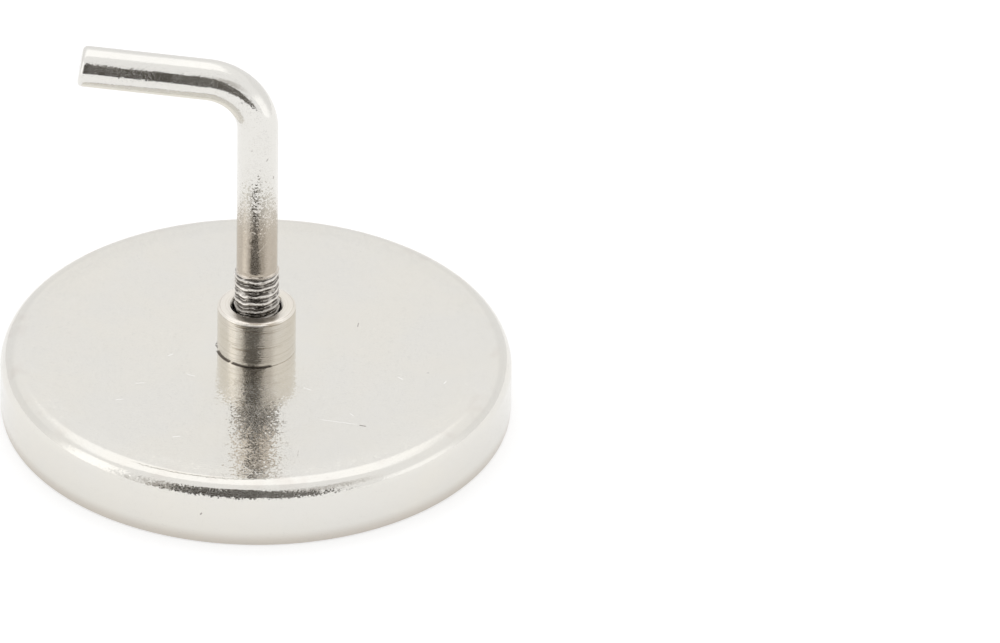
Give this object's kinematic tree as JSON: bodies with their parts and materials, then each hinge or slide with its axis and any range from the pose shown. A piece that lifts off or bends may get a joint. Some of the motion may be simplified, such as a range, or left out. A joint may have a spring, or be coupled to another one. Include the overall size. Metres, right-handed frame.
{
  "type": "magnetic hook",
  "caption": "Flat round pot magnet in a nickel-plated steel cup, with a threaded bush on top and a screwed-in L-shaped bar hook that turns about its shank.",
  "frame": {"origin": "centre of the magnet's contact face, level with the cup's mouth", "axes": "+Z away from the contact face along the hook's shank, -X towards the arm's end"},
  "size_m": [0.06, 0.06, 0.0481],
  "materials": {
    "pot_plate": "satin",
    "bush_plate": "satin",
    "rod_plate": "gloss",
    "ferrite": "satin",
    "bonding_resin": "satin",
    "potting_resin": "gloss"
  },
  "bodies": {
    "pot": {"pot_cup": "pot_plate", "threaded_bush": "bush_plate", "ring_magnet": "ferrite", "adhesive_bed": "bonding_resin", "potting_ring": "potting_resin"},
    "hook": {"hook_rod": "rod_plate"}
  },
  "joints": [
    {"name": "hook_turn", "type": "hinge", "parent": "pot", "child": "hook", "pos_m": [0, 0, 0.0139], "axis": [0, 0, 1], "range_deg": [-180, 180]}
  ]
}
